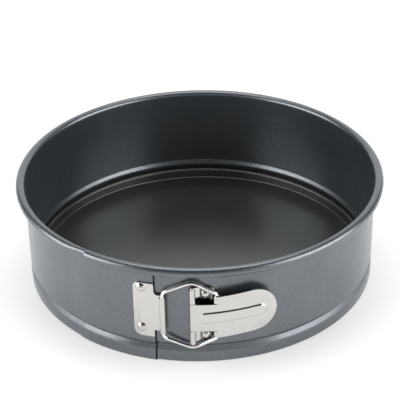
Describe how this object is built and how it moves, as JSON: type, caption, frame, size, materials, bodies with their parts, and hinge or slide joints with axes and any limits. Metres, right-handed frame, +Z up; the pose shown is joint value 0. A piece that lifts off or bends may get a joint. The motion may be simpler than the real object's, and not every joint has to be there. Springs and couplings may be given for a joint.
{
  "type": "springform pan",
  "caption": "Round springform cake pan: a loose dished base held in a sprung steel band that an over-centre lever clasp closes.",
  "frame": {"origin": "middle of the base's underside, on the surface the pan stands on", "axes": "+Z up; -Y towards the clasp, whose lever pin stands on the -Y axis; the lever points to +X"},
  "size_m": [0.2406, 0.2407, 0.07],
  "materials": {
    "nonstick_band": "satin metallic non-stick coating",
    "nonstick_base": "satin non-stick coating",
    "plated_clasp": "polished nickel plate on pressed steel"
  },
  "bodies": {
    "base": {"base_disc": "nonstick_base"},
    "ring_back": {"band_back": "nonstick_band"},
    "ring_right": {"band_right": "nonstick_band", "lever_bracket": "plated_clasp", "bracket_rivet_upper": "plated_clasp", "bracket_rivet_lower": "plated_clasp", "lever_pin": "plated_clasp"},
    "ring_left": {"band_left": "nonstick_band", "hook_plate": "plated_clasp", "hook_rivet_upper": "plated_clasp", "hook_rivet_lower": "plated_clasp", "bail_hinge_wire": "plated_clasp"},
    "lever": {"clasp_lever": "plated_clasp"},
    "bail": {"bail_wire": "plated_clasp"}
  },
  "joints": [
    {"name": "back_shift", "type": "slide", "parent": "base", "child": "ring_back", "axis": [0, 1, 0], "range_m": [0, 0.0025]},
    {"name": "right_spread", "type": "hinge", "parent": "ring_back", "child": "ring_right", "pos_m": [0.10444, 0.0603, 0], "axis": [0, 0, 1], "range_deg": [0, 4.7]},
    {"name": "left_spread", "type": "hinge", "parent": "ring_back", "child": "ring_left", "pos_m": [-0.10444, 0.0603, 0], "axis": [0, 0, -1], "range_deg": [0, 3.76]},
    {"name": "lever_swing", "type": "hinge", "parent": "ring_right", "child": "lever", "pos_m": [0, -0.118, 0.0362], "axis": [0, 0, -1], "range_deg": [0, 170]},
    {"name": "bail_swing", "type": "hinge", "parent": "lever", "child": "bail", "pos_m": [0.01428, -0.11713, 0.0362], "axis": [0, 0, -1], "range_deg": [-150.9, 0]}
  ],
  "couplings": [
    {"joint": "back_shift", "follows": "lever_swing", "m_per_rad": 0.000842},
    {"joint": "right_spread", "follows": "lever_swing", "ratio": 0.027629},
    {"joint": "left_spread", "follows": "lever_swing", "ratio": 0.022106},
    {"joint": "bail_swing", "follows": "lever_swing", "ratio": -0.88752}
  ]
}
